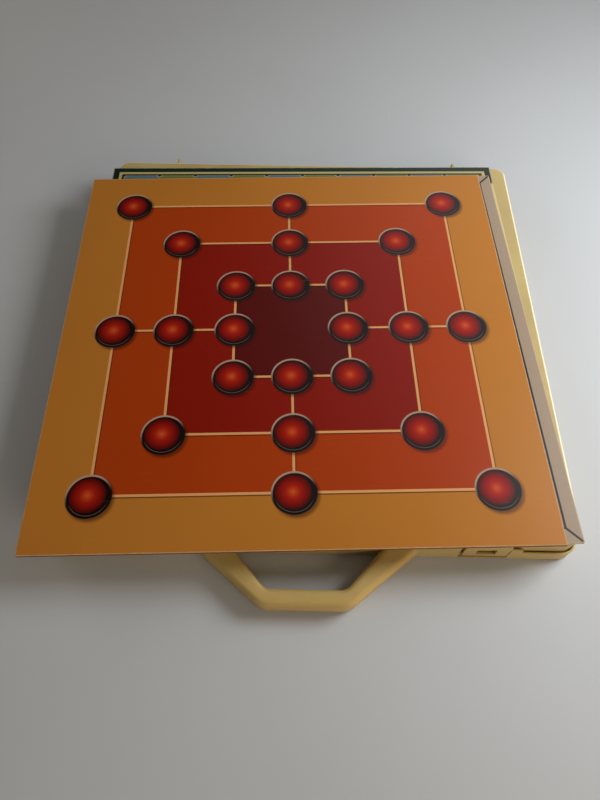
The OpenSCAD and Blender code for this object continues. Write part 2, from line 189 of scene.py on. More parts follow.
class Tree:
    """A node tree that is written as calls and expressions."""

    def __init__(self, nodes: bpy.types.NodeTree) -> None:
        """Keeps the Blender node tree."""
        self.tree = nodes

    @classmethod
    def blank(cls, owner: bpy.types.ID) -> Tree:
        """Returns the emptied tree of a new material or world."""
        owner.use_nodes = True
        owner.node_tree.nodes.clear()
        return cls(owner.node_tree)

    def node(self, kind: str, settings: dict[str, object] | None = None,
             inputs: Inputs | None = None) -> bpy.types.Node:
        """Adds a node.

        Args:
            kind: The node's type.
            settings: Its own settings, or a ramp's stops under "stops". They are set first.
            inputs: Numbers, colours, vectors, sockets or values by socket name or number. A node
                stands for its first output.

        Returns:
            The new node.
        """
        made = self.tree.nodes.new(kind)
        for name, setting in (settings or {}).items():
            if name == "stops":
                self._stops(made.color_ramp, setting)
            else:
                setattr(made, name, setting)
        for name, given in (inputs or {}).items():
            socket = made.inputs[name]
            if isinstance(given, bpy.types.Node):
                given = given.outputs[0]
            if isinstance(given, (Value, bpy.types.NodeSocket)):
                self.tree.links.new(getattr(given, "socket", given), socket)
            elif isinstance(given, tuple) and len(given) == 3 and socket.type == "RGBA":
                socket.default_value = (*given, 1)
            else:
                socket.default_value = given
        return made

    def value(self, kind: str, settings: dict[str, object] | None = None,
              inputs: Inputs | None = None, output: Union[str, int] = 0) -> Value:
        """Adds a node as node does and returns one of its outputs as a value."""
        return Value(self, self.node(kind, settings, inputs).outputs[output])

    @staticmethod
    def _stops(ramp: bpy.types.ColorRamp, stops: Sequence[tuple[float, Colour]]) -> None:
        """Sets a ramp's stops.

        Args:
            ramp: The ramp.
            stops: Places and colours in order.
        """
        while len(ramp.elements) < len(stops):
            ramp.elements.new(0.5)
        for element, (place, colour) in zip(ramp.elements, stops):
            element.position = place
            element.color = (*colour, 1)

    def math(self, operation: str, *values: Operand) -> Value:
        """Adds a Math node.

        Args:
            operation: The node's operation.
            values: Its inputs in order.

        Returns:
            The node's result.
        """
        return self.value("ShaderNodeMath", {"operation": operation}, dict(enumerate(values)))

    def mix(self, factor: Input, first: Input, second: Input, how: Blend = Blend.MIX) -> Value:
        """Mixes two colours.

        Args:
            factor: Share of the second colour.
            first: The colour where the factor is 0.
            second: The colour where the factor is 1.
            how: The way in which they are joined.

        Returns:
            The mixed colour.
        """
        return self.value("ShaderNodeMix", {"data_type": "RGBA", "blend_type": how.value},
                          {0: factor, 6: first, 7: second}, 2)

    def layers(self, tint: Input, *coats: tuple[Input, Input]) -> Input:
        """Lays colours over one another.

        Args:
            tint: The lowest colour.
            coats: Mask and colour of each layer, from the bottom up.

        Returns:
            The colour on top.
        """
        for mask, colour in coats:
            tint = self.mix(mask, tint, colour)
        return tint

    def ramp(self, factor: Value, stops: Sequence[tuple[float, Colour]]) -> Value:
        """Looks a value up on a colour ramp.

        Args:
            factor: The place on the ramp.
            stops: The ramp's places and colours.

        Returns:
            The colour.
        """
        return self.value("ShaderNodeValToRGB", {"stops": stops}, {0: factor})

    def place(self, centre: Vector = Vector((0, 0, 0)), turn: float = 0) -> Value:
        """Object coordinates in millimetres, from a piece's own middle and turn.

        Args:
            centre: The pattern's middle in millimetres.
            turn: The pattern's turn about Z in degrees.

        Returns:
            The coordinates as a vector.
        """
        return self.value("ShaderNodeMapping", {"vector_type": "TEXTURE"}, {
            "Vector": self.value("ShaderNodeTexCoord", output="Object"),
            "Location": centre * MM, "Rotation": (0, 0, math.radians(turn)),
            "Scale": (MM, MM, MM)})

    def stretch(self, place: Value, amounts: Sequence[float]) -> Value:
        """Multiplies coordinates axis by axis."""
        return self.value("ShaderNodeVectorMath", {"operation": "MULTIPLY"},
                          {0: place, 1: amounts})

    def split(self, place: Value) -> tuple[Value, Value, Value]:
        """Takes coordinates apart into X, Y and Z."""
        made = self.node("ShaderNodeSeparateXYZ", inputs={0: place})
        return tuple(Value(self, socket) for socket in made.outputs)

    def noise(self, place: Value, size: float, detail: float = 2, rough: float = 0.5,
              warp: float = 0) -> Value:
        """Cloudy noise whose clouds have about the given size.

        Args:
            place: Coordinates in millimetres.
            size: Size of a cloud in millimetres.
            detail: Number of finer layers.
            rough: Strength of the finer layers.
            warp: How far the clouds are drawn out of shape.

        Returns:
            The noise, about 0.5 in the mean.
        """
        return self.value("ShaderNodeTexNoise", {"noise_dimensions": "3D"}, {
            "Vector": place, "Scale": 1 / size, "Detail": detail, "Roughness": rough,
            "Distortion": warp})

    def ray(self, kind: str) -> Value:
        """Is 1 for one kind of ray, by the name of Light Path's output."""
        return self.value("ShaderNodeLightPath", output=kind)


@dataclass
class Surface:
    """What a finish makes of a point: its colour, its gloss and its fine relief."""

    colour: Input
    roughness: Input
    height: Value | None = None
    relief: float = 0.05
    coat: float = 0.0
    coat_roughness: float = 0.2
    sheen: float = 0.0
    specular: float = 0.5
    subsurface: float = 0.0


@dataclass(frozen=True)
class Finish:
    """A finish with a name, which draws its surface into a node tree."""

    name: str

    def draw(self, tree: Tree) -> Surface:
        """Writes the finish's nodes.

        Args:
            tree: The material's tree.

        Returns:
            The surface.
        """
        raise NotImplementedError

    def material(self) -> bpy.types.Material:
        """Returns the finish's material, which is made on the first call."""
        known = bpy.data.materials.get("finish_" + self.name)
        if known:
            return known
        made = bpy.data.materials.new("finish_" + self.name)
        tree = Tree.blank(made)
        surface = self.draw(tree)
        inputs: Inputs = {
            "Base Color": surface.colour, "Roughness": surface.roughness,
            "Coat Weight": surface.coat, "Coat Roughness": surface.coat_roughness,
            "Sheen Weight": surface.sheen, "Specular IOR Level": surface.specular,
            "Subsurface Weight": surface.subsurface, "Subsurface Scale": 0.002}
        if surface.height is not None:
            inputs["Normal"] = tree.node("ShaderNodeBump", inputs={
                "Strength": 1.0, "Distance": surface.relief * MM, "Height": surface.height})
        shader = tree.node("ShaderNodeBsdfPrincipled", inputs=inputs)
        tree.node("ShaderNodeOutputMaterial", inputs={"Surface": shader})
        return made


@dataclass(frozen=True)
class MouldedPlastic(Finish):
    """Satin moulded plastic with a fine spark-eroded grain, smudges and a few scratches; where
    edge is set, its rounded edges get a paler painted highlight.
    """

    colour: Colour
    shade: Colour
    gloss: float = 0.40
    wear: float = 1.0
    edge: float = 0.0
    grime: Colour = ink(120, 96, 58)
    scratched: Colour = ink(240, 228, 190)
    # rubbed is the colour of the painted highlight on rounded edges.
    rubbed: Colour = ink(246, 236, 206)

    def draw(self, tree: Tree) -> Surface:
        """Writes the plastic's nodes."""
        place = tree.place()
        cloud = tree.noise(place, 70, 3, 0.55)
        smear = tree.noise(tree.stretch(place, (1, 0.25, 1)), 14, 4, 0.6, 0.6)
        grain = tree.noise(place, 0.55, 2, 0.6)
        along = tree.noise(tree.stretch(place, (0.05, 1.1, 1)), 0.9, 1, 0.4)
        across = tree.noise(tree.stretch(place, (1.2, 0.06, 1)), 1.1, 1, 0.4)
        patch = tree.noise(place, 24, 2, 0.5).step(0.5, 0.66)
        scratch = along.step(0.70, 0.76).most(across.step(0.71, 0.77)) * patch * self.wear
        grime = tree.noise(place, 3.5, 4, 0.7).step(0.62, 0.8) * 0.10 * self.wear
        tint = tree.layers(
            self.colour, (cloud.step(0.36, 0.66), self.shade), (grime, self.grime),
            (scratch * 0.16, self.scratched))
        # Painted highlight: where the normal slants, on rounded edges, the colour is made paler by
        # the edge share.
        if self.edge:
            up = tree.split(tree.value("ShaderNodeTexCoord", output="Normal"))[2]
            rounded = up.step(0.995, 0.93) * up.step(0.05, 0.3) * (smear * 0.4 + 0.8)
            tint = tree.mix(rounded * self.edge, tint, self.rubbed)
        gloss = self.gloss + (smear - 0.5) * 0.22 + grain * 0.05 - scratch * 0.08
        return Surface(tint, gloss, grain * 0.6 + smear * 0.5 - scratch * 0.5, relief=0.028,
                       subsurface=0.06)


@dataclass(frozen=True)
class FormedSheet(Finish):
    """Thin vacuum-formed sheet, glossier than moulded plastic, drawn thin and wavy."""

    colour: Colour
    shade: Colour
    dust: Colour = ink(150, 143, 128)

    def draw(self, tree: Tree) -> Surface:
        """Writes the sheet's nodes."""
        place = tree.place()
        wave = tree.noise(place, 26, 2, 0.5, 0.4)
        fine = tree.noise(place, 0.9, 2, 0.5)
        dust = tree.noise(place, 1.6, 3, 0.7).step(0.66, 0.8)
        # The sheet is made darker towards the bottom, below about 9 mm up.
        low = tree.split(place)[2].step(9, 3)
        tint = tree.layers(self.colour, (wave.step(0.35, 0.7), self.shade),
                           (low * 0.25, self.shade), (dust * 0.25, self.dust))
        return Surface(tint, 0.30 + wave * 0.1 + dust * 0.25, wave * 3 + fine * 0.25)


@dataclass(frozen=True)
class PolishedPlastic(Finish):
    """Tumbled gloss plastic of a game piece, with fine turned rings and rubbed spots."""

    colour: Colour
    shade: Colour
    rub: Colour

    def draw(self, tree: Tree) -> Surface:
        """Writes the piece's nodes."""
        place = tree.place()
        swirl = tree.noise(place, 9, 3, 0.6, 1.2)
        pits = tree.noise(place, 0.5, 2, 0.6)
        hair = tree.noise(tree.stretch(place, (0.2, 2.2, 1)), 0.8, 2, 0.5).step(0.62, 0.74)
        tint = tree.layers(self.colour, (swirl.step(0.35, 0.68), self.shade),
                           (hair * 0.14, self.rub))
        return Surface(tint, 0.2 + swirl * 0.12 + hair * 0.2, pits * 0.5 + swirl,
                       relief=0.02, coat=0.15, coat_roughness=0.12)


@dataclass(frozen=True)
class CutBoard(Finish):
    """Cut edge of printed greyboard: fine layers and fibres, with a rubbed paper lip."""

    colour: Colour
    lip: Colour
    under: float
    thickness: float

    def draw(self, tree: Tree) -> Surface:
        """Writes the edge's nodes."""
        place = tree.place()
        height = tree.split(place)[2] - self.under
        layers = tree.noise(tree.stretch(place, (0.12, 0.12, 1)), 0.32, 3, 0.6)
        fibre = tree.noise(place, 0.6, 3, 0.7)
        upper = height.step(self.thickness - 0.42, self.thickness - 0.3)
        paper = upper.most(height.step(0.4, 0.28))
        paler = tuple(part * 1.4 for part in self.colour)
        tint = tree.layers(self.colour, (layers.step(0.35, 0.7), paler),
                           (fibre.step(0.5, 0.8) * 0.4, self.lip), (paper * 0.85, self.lip))
        return Surface(tint, 0.86, layers + fibre, relief=0.12, sheen=0.05, specular=0.25)


@dataclass(frozen=True)
class PlainPaper(Finish):
    """Unprinted lining paper under a board."""

    colour: Colour
    shade: Colour = ink(196, 189, 172)
    fibre: Colour = ink(168, 160, 144)
    rub: Colour = ink(150, 142, 128)

    def draw(self, tree: Tree) -> Surface:
        """Writes the paper's nodes."""
        place = tree.place()
        cloud = tree.noise(place, 18, 3, 0.6)
        fibre = tree.noise(tree.stretch(place, (1, 0.4, 1)), 0.7, 3, 0.7)
        rub = tree.noise(place, 6, 4, 0.7).step(0.6, 0.78)
        tint = tree.layers(self.colour, (cloud.step(0.3, 0.75) * 0.5, self.shade),
                           (fibre.step(0.5, 0.8) * 0.2, self.fibre), (rub * 0.18, self.rub))
        return Surface(tint, 0.8 - rub * 0.1, fibre, relief=0.03, specular=0.3)


@dataclass(frozen=True)
class Print(Finish):
    """Printed and varnished face of a board. The picture is left to the kinds of board."""

    centre: tuple[float, float]
    turn: float
    width: float = 300
    depth: float = 298
    haze: Colour = (0.8, 0.78, 0.74)
    speck: Colour = ink(214, 178, 130)
    bare: Colour = ink(190, 166, 136)
    hair: Colour = ink(220, 190, 150)

    def picture(self, tree: Tree, x: Value, y: Value) -> Value:
        """Draws the printed picture.

        Args:
            tree: The material's tree.
            x: Distance to the right of the board's middle in millimetres.
            y: Distance behind the board's middle in millimetres.

        Returns:
            The ink's colour.
        """
        raise NotImplementedError

    def from_edges(self, x: Value, y: Value) -> tuple[Value, Value]:
        """Distances from the nearer side edge and from the nearer front or back edge."""
        return self.width / 2 - abs(x), self.depth / 2 - abs(y)

    def draw(self, tree: Tree) -> Surface:
        """Writes the print, the rubbed edge and the varnish."""
        place = tree.place(Vector((*self.centre, 0)), self.turn)
        x, y, _ = tree.split(place)
        tint = self.picture(tree, x, y)
        cloud = tree.noise(place, 55, 3, 0.5)
        speck = tree.noise(place, 0.8, 3, 0.65)
        hazy = tree.mix(1, tint, self.haze, Blend.DARKEN)
        from_x, from_y = self.from_edges(x, y)
        fray = tree.noise(place, 1.7, 4, 0.75)
        rubbed = (from_x.least(from_y) - fray * 1.1).step(0.16, -0.14)
        rubbed = rubbed.most((from_x + from_y - fray * 3).step(0.6, -0.4))
        smear = tree.noise(tree.stretch(place, (1, 0.35, 1)), 22, 4, 0.6, 0.8)
        hair = tree.noise(tree.stretch(place, (0.05, 1, 1)), 0.9, 2, 0.5).step(0.68, 0.75)
        hair = hair * tree.noise(place, 30, 1).step(0.5, 0.62)
        tint = tree.layers(
            tint, ((cloud - 0.5) * 0.5 + 0.12, hazy), (speck.step(0.60, 0.85) * 0.05, self.speck),
            (rubbed * 0.7, self.bare), (hair * 0.05, self.hair))
        gloss = 0.34 + (smear - 0.5) * 0.14 + rubbed * 0.35 + speck * 0.04
        relief = speck * 0.35 + cloud * 6 - rubbed * 2 - hair * 0.4
        return Surface(tint, gloss, relief, relief=0.03, specular=0.2)


@dataclass(frozen=True)
class MorrisPrint(Print):
    """Three squares joined at the middles of their sides, with a round point at each joint."""

    shift: float = 1.2
    squares: tuple[float, float, float] = (116.5, 77.9, 37.6)
    line: float = 1.6
    point: float = 26.7
    bands: tuple[Colour, Colour, Colour, Colour] = (
        ink(178, 114, 40), ink(162, 56, 4), ink(127, 17, 0), ink(80, 5, 1))
    lines: Colour = ink(216, 158, 102)
    under_line: Colour = ink(48, 10, 4)
    shadow: Colour = ink(36, 10, 2)
    rim: tuple[Colour, Colour] = (ink(20, 6, 4), ink(168, 144, 126))
    groove: Colour = ink(14, 3, 2)
    glint: Colour = ink(138, 122, 112)
    face: tuple[tuple[float, Colour], ...] = (
        (0.0, ink(194, 86, 40)), (0.18, ink(180, 58, 20)), (0.40, ink(158, 24, 6)),
        (0.72, ink(120, 9, 2)), (0.97, ink(64, 4, 2)))

    def picture(self, tree: Tree, x: Value, y: Value) -> Value:
        """Draws the bands, the lines and the points."""
        x, y = x - self.shift, y - self.shift
        reach = abs(x).most(abs(y))
        bands = [(reach.step(size + 0.15, size - 0.15), colour)
                 for size, colour in zip(self.squares, self.bands[1:])]
        tint = tree.layers(
            self.bands[0], *bands, (self._lines(x - 0.6, y + 0.8, 0.7) * 0.75, self.under_line),
            (self._lines(x, y, 0.25), self.lines))
        return self._points(tree, x, y, tint)

    def _lines(self, x: Value, y: Value, soft: float) -> Value:
        """Is 1 on the lines.

        Args:
            x: Distance to the right of the pattern's middle.
            y: Distance behind the pattern's middle.
            soft: Softness of the lines' edges.

        Returns:
            The mask.
        """
        outer, _, inner = self.squares
        half = self.line / 2
        reach, near = abs(x).most(abs(y)), abs(x).least(abs(y))
        between = reach.step(inner, inner + 0.1) * reach.step(outer, outer - 0.1)
        found = near.band(0, half, soft) * between
        for size in self.squares:
            found = found.most(reach.band(size, half, soft))
        return found

    def _points(self, tree: Tree, x: Value, y: Value, tint: Value) -> Value:
        """Draws the round points over the bands and lines.

        Args:
            tree: The material's tree.
            x: Distance to the right of the pattern's middle.
            y: Distance behind the pattern's middle.
            tint: The colour so far.

        Returns:
            The colour with the points.
        """
        nowhere = 500
        near_x, near_y, far = None, None, None
        for size in self.squares:
            column = (x / size).round().most(-1).least(1)
            row = (y / size).round().most(-1).least(1)
            dx, dy = x - column * size, y - row * size
            away = dx.length(dy) + (1 - abs(column).most(abs(row))) * nowhere
            if far is None:
                near_x, near_y, far = dx, dy, away
            else:
                closer = away.below(far)
                near_x = near_x + (dx - near_x) * closer
                near_y = near_y + (dy - near_y) * closer
                far = far.least(away)
        near_x = near_x + far.above(nowhere - 100) * nowhere
        edge = self.point / 2
        upward = near_y / far.most(0.1)
        lit = (near_y * 0.93 - near_x * 0.37) / far.most(0.1)

        def around(right: float, back: float) -> Value:
            """Returns the distance from a place beside the point's middle."""
            return (near_x - right).length(near_y - back)

        shadow = around(1.3, -1.7).step(edge + 1.6, edge - 1.2) * far.step(edge + 4, edge + 3)
        rim = tree.mix(lit.step(-0.15, 0.75), *self.rim)
        glint = far.band(edge - 1.75, 0.1, 0.5) * upward.step(-0.25, -0.8)
        disc = edge - 2.7
        from_middle = around(-0.7, 0.6)
        return tree.layers(
            tint, (shadow * 0.65, self.shadow), (far.step(edge + 0.25, edge - 0.25), rim),
            (around(0.15, -0.4).step(edge - 0.55, edge - 1.0), self.groove),
            (glint * 0.75, self.glint),
            (from_middle.step(disc + 0.3, disc - 0.3), tree.ramp(from_middle / disc, self.face)))


@dataclass(frozen=True)
class FramedPrint(Print):
    """A mauve-grey frame with black lines at its inner edge and across its corners."""

    frame: float = 8.7
    line: float = 1.3
    colour: Colour = ink(158, 140, 120)
    fleck: Colour = ink(150, 131, 116)
    black: Colour = ink(16, 8, 6)
    field: Colour = ink(120, 60, 44)

    def picture(self, tree: Tree, x: Value, y: Value) -> Value:
        """Draws the frame and the plain field inside it."""
        from_x, from_y = self.from_edges(x, y)
        inside = from_x.least(from_y)
        fleck = tree.noise(tree.place(), 1.3, 3, 0.7)
        mitre = abs(from_x - from_y).step(self.line * 0.9, self.line * 0.5)
        mitre = mitre * inside.step(self.frame + 0.2, self.frame)
        black = inside.band(self.frame, self.line / 2, 0.25).most(mitre)
        field_edge = self.frame + self.line / 2
        return tree.layers(
            self.colour, (fleck.step(0.35, 0.75) * 0.35, self.fleck), (black, self.black),
            (inside.step(field_edge, field_edge + 0.3), self.field))


@dataclass(frozen=True)
class DraughtsPrint(Print):
    """Ten by ten squares in two light colours, a cream line round them and a green border."""

    border: float = 5.0
    cream: float = 2.3
    gap: float = 1.5
    squares: int = 10
    fields: tuple[Colour, Colour] = (ink(112, 118, 62), ink(92, 116, 124))
    joint: Colour = ink(150, 142, 96)
    ring: Colour = ink(170, 164, 128)
    dot: Colour = ink(18, 20, 14)
    dark: Colour = ink(26, 30, 20)
    stripe: Colour = ink(186, 170, 116)
    green: Colour = ink(6, 34, 24)
    worn: Colour = ink(206, 190, 140)

    def picture(self, tree: Tree, x: Value, y: Value) -> Value:
        """Draws the squares, the dots at their corners and the border."""
        from_x, from_y = self.from_edges(x, y)
        inside = from_x.least(from_y)
        stripe_edge = self.border + self.cream
        edge = stripe_edge + self.gap
        across = (self.width - 2 * edge) / self.squares
        down = (self.depth - 2 * edge) / self.squares
        column, row = x / across + self.squares / 2, y / down + self.squares / 2
        parity = (column.floor() + row.floor()).fold(1)
        off_x, off_y = abs(column - column.round()) * across, abs(row - row.round()) * down
        off = off_x.length(off_y)
        right = self.width / 2
        worn = x.step(right - 1.9, right - 1.6) * y.step(132, 128)
        return tree.layers(
            tree.mix(parity, *self.fields), (off_x.least(off_y).step(0.45, 0.2) * 0.8, self.joint),
            (off.step(2.7, 2.2) * 0.7, self.ring), (off.step(1.6, 1.1), self.dot),
            (inside.step(edge + 0.1, edge - 0.1), self.dark),
            (inside.step(stripe_edge + 0.1, stripe_edge - 0.1), self.stripe),
            (inside.step(self.border + 0.1, self.border - 0.1), self.green), (worn, self.worn))


CASE_INKS = (ink(186, 166, 108), ink(176, 153, 96))
CREAM = MouldedPlastic("case_plastic", *CASE_INKS)
# The lid's edge share paints a paler highlight on its rounded edges.
LID = MouldedPlastic("lid_plastic", *CASE_INKS, edge=0.85)
GRIP = MouldedPlastic("handle_plastic", ink(188, 161, 99), ink(178, 149, 87), wear=1.4)
PIN = MouldedPlastic("pin_plastic", ink(184, 158, 100), ink(172, 146, 90), gloss=0.35, wear=0.6)
TRAY = FormedSheet("tray_plastic", ink(204, 200, 188), ink(197, 192, 178))
IVORY = PolishedPlastic("light_man", ink(240, 224, 180), ink(228, 206, 156), ink(250, 242, 216))
EBONY = PolishedPlastic("dark_man", ink(34, 30, 28), ink(24, 21, 20), ink(96, 92, 88))
PAPER = PlainPaper("lining_paper", ink(214, 209, 196))


def add(name: str, data: bpy.types.ID) -> bpy.types.Object:
    """Adds an object of a mesh, a lamp or a camera to the scene.

    Args:
        name: The object's name.
        data: What it shows.

    Returns:
        The object at the origin.
    """
    made = bpy.data.objects.new(name, data)
    bpy.context.scene.collection.objects.link(made)
    return made


def from_mesh(name: str, mesh: bpy.types.Mesh, finishes: Sequence[Finish]) -> bpy.types.Object:
    """Makes an object of a finished mesh.

    Args:
        name: The piece's name.
        mesh: Its mesh, in metres and in place.
        finishes: Its finishes in the order of its slots.

    Returns:
        The object at the origin.
    """
    mesh.name = name
    mesh.materials.clear()
    for finish in finishes:
        mesh.materials.append(finish.material())
    return add(name, mesh)


def smooth(piece: bpy.types.Object, angle: float) -> None:
    """Shades a piece smooth but for its sharp edges.

    Args:
        piece: The piece.
        angle: Edges sharper than this, in degrees, stay sharp.
    """
    for polygon in piece.data.polygons:
        polygon.use_smooth = True
    piece.data.set_sharp_from_angle(angle=math.radians(angle))


def settle(piece: bpy.types.Object) -> bpy.types.Object:
    """Turns a piece with modifiers into a plain mesh in its place.

    Args:
        piece: The piece whose modifiers are done.

    Returns:
        The same object with the plain mesh and no modifier.
    """
    bpy.context.view_layer.update()
    evaluated = piece.evaluated_get(bpy.context.evaluated_depsgraph_get())
    mesh = bpy.data.meshes.new_from_object(evaluated)
    old = piece.data
    piece.modifiers.clear()
    piece.data = mesh
    mesh.name = piece.name
    bpy.data.meshes.remove(old)
    return piece


def soften(piece: bpy.types.Object, width: float, angle: float = 32) -> None:
    """Adds a bevel and even normals to a piece.

    Args:
        piece: The piece.
        width: The bevel's width in millimetres.
        angle: Edges sharper than this, in degrees, are bevelled.
    """
    smooth(piece, angle)
    bevel = piece.modifiers.new("edge", "BEVEL")
    bevel.width = width * MM
    bevel.segments = 2
    bevel.limit_method = "ANGLE"
    bevel.angle_limit = math.radians(angle)
    bevel.miter_outer = "MITER_ARC"
    bevel.use_clamp_overlap = True
    even = piece.modifiers.new("even", "WEIGHTED_NORMAL")
    even.keep_sharp = True
    even.weight = 80


@dataclass
class Piece:
    """One shown piece: its name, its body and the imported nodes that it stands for."""

    name: str
    body: str
    slot: str
    nodes: tuple[str, ...]

    def hand_over(self, made: bpy.types.Object) -> bpy.types.Object:
        """Puts a finished mesh on its body in place of its nodes.

        Args:
            made: The finished object at the origin.

        Returns:
            The same object.
        """
        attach(made, self.body)
        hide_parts(*self.nodes)
        log.info("%s: %d faces on %s", made.name, len(made.data.polygons), self.body)
        return made


@dataclass
class SoftCopy(Piece):
    """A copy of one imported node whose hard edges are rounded."""

    finish: Finish = CREAM
    edge: float = 0.3
    weld: float = 2e-6
    flat: float = 0.0008

    def build(self) -> bpy.types.Object:
        """Copies the node's mesh, joins its triangles and rounds its edges.

        Returns:
            The finished piece.
        """
        mesh = bpy.data.meshes.new(self.name)
        work = bmesh.new()
        work.from_mesh(frame["nodes"][self.nodes[0]].data)
        bmesh.ops.remove_doubles(work, verts=work.verts, dist=self.weld)
        bmesh.ops.dissolve_limit(work, angle_limit=self.flat, verts=work.verts, edges=work.edges)
        work.to_mesh(mesh)
        work.free()
        made = from_mesh(self.name, mesh, [self.finish])
        soften(made, self.edge)
        return self.hand_over(settle(made))


class PathTree:
    """A Geometry Nodes tree that is built in Python, with named inputs."""

    def __init__(self, name: str) -> None:
        """Makes an empty tree with one geometry in and one out."""
        self.group = bpy.data.node_groups.new(name, "GeometryNodeTree")
        self.tree = Tree(self.group)
        self.sockets: dict[str, str] = {}
        face = self.group.interface
        face.new_socket(name="Geometry", in_out="INPUT", socket_type="NodeSocketGeometry")
        face.new_socket(name="Geometry", in_out="OUTPUT", socket_type="NodeSocketGeometry")
        self.start = self.group.nodes.new("NodeGroupInput")
        self.end = self.group.nodes.new("NodeGroupOutput")

    def inputs(self, kind: str, *names: str) -> list[Value]:
        """Adds named inputs.

        Args:
            kind: Their socket type without its first part, such as Float.
            names: The inputs' names.

        Returns:
            The inputs' values inside the tree.
        """
        made = []
        for name in names:
            socket = self.group.interface.new_socket(
                name=name, in_out="INPUT", socket_type="NodeSocket" + kind)
            self.sockets[name] = socket.identifier
            made.append(Value(self.tree, self.start.outputs[name]))
        return made

    def dress(self, geometry: bpy.types.Node, material: Value,
              where: Value | None = None) -> bpy.types.Node:
        """Realizes the geometry and sets its material.

        Args:
            geometry: The geometry.
            material: The material's input.
            where: Where to set it, or None for all over.

        Returns:
            The dressed geometry.
        """
        real = self.tree.node("GeometryNodeRealizeInstances", inputs={0: geometry})
        inputs: Inputs = {0: real, "Material": material}
        if where is not None:
            inputs["Selection"] = where
        return self.tree.node("GeometryNodeSetMaterial", inputs=inputs)

    def close(self, geometry: bpy.types.Node) -> PathTree:
        """Hands out the geometry and returns the finished tree."""
        self.group.links.new(geometry.outputs[0], self.end.inputs[0])
        return self

    def use_on(self, piece: bpy.types.Object, values: dict[str, object]) -> None:
        """Gives a piece the tree as a modifier.

        Args:
            piece: The piece.
            values: The inputs' values by name.
        """
        modifier = piece.modifiers.new(self.group.name, "NODES")
        for name, value in values.items():
            modifier[self.sockets[name]] = value
        modifier.node_group = self.group


@dataclass
class GameBoard(Piece):
    """A printed board of greyboard with rounded corners, lying askew in the stack."""

    level: Level = Level.LOW
    at: tuple[float, float] = (0, 0)
    turn: float = 0
    width: float = 300
    depth: float = 298
    thickness: float = 2
    corner: float = 0.6
    lid_top: float = 24
    air: float = 0.02
    edge: float = 0.25
    core: Colour = ink(150, 144, 134)
    lip: Colour = ink(214, 210, 200)
    face: Print | None = None

    def build(self, tree: PathTree) -> bpy.types.Object:
        """Makes the board with the shared tree.

        Args:
            tree: The tree that shapes a board.

        Returns:
            The finished board.
        """
        under = self.lid_top + self.air + self.level.value * (self.thickness + self.air)
        cut = CutBoard(self.name + "_edge", self.core, self.lip, under, self.thickness)
        made = from_mesh(self.name, bpy.data.meshes.new(self.name), [])
        tree.use_on(made, {
            "Width": self.width * MM, "Depth": self.depth * MM,
            "Thickness": self.thickness * MM, "Corner": self.corner * MM,
            "Place": Vector((*self.at, under)) * MM, "Turn": math.radians(self.turn),
            "Face": self.face.material(), "Cut edge": cut.material(),
            "Underside": PAPER.material()})
        settle(made)
        soften(made, self.edge)
        return self.hand_over(settle(made))


def board_tree() -> PathTree:
    """Builds the tree that shapes a board: an outline, filled, raised and closed.

    Returns:
        The tree.
    """
    made = PathTree("shape_board")
    width, depth, thickness, corner = made.inputs(
        "Float", "Width", "Depth", "Thickness", "Corner")
    place, = made.inputs("Vector", "Place")
    turn, = made.inputs("Float", "Turn")
    face, cut, under = made.inputs("Material", "Face", "Cut edge", "Underside")
    node = made.tree.node
    outline = node("GeometryNodeCurvePrimitiveQuadrilateral",
                   inputs={"Width": width, "Height": depth})
    rounded = node("GeometryNodeFilletCurve", {"mode": "POLY"},
                   {"Curve": outline, "Radius": corner, "Count": 8})
    sheet = node("GeometryNodeFillCurve", {"mode": "NGONS"}, {0: rounded})
    raised = node("GeometryNodeExtrudeMesh", {"mode": "FACES"},
                  {"Mesh": sheet, "Offset Scale": thickness, "Individual": False})
    turned = node("GeometryNodeFlipFaces", inputs={0: sheet})
    whole = node("GeometryNodeJoinGeometry")
    for source in (turned, raised):
        made.group.links.new(source.outputs[0], whole.inputs[0])
    closed = node("GeometryNodeMergeByDistance", inputs={0: whole, "Distance": TOUCH})
    spin = node("ShaderNodeCombineXYZ", inputs={2: turn})
    laid = node("GeometryNodeTransform",
                inputs={0: closed, "Translation": place, "Rotation": spin})
    up = made.tree.split(made.tree.value("GeometryNodeInputNormal"))[2]
    dressed = made.dress(laid, cut)
    dressed = made.dress(dressed, face, up.above(0.5))
    return made.close(made.dress(dressed, under, up.below(-0.5)))


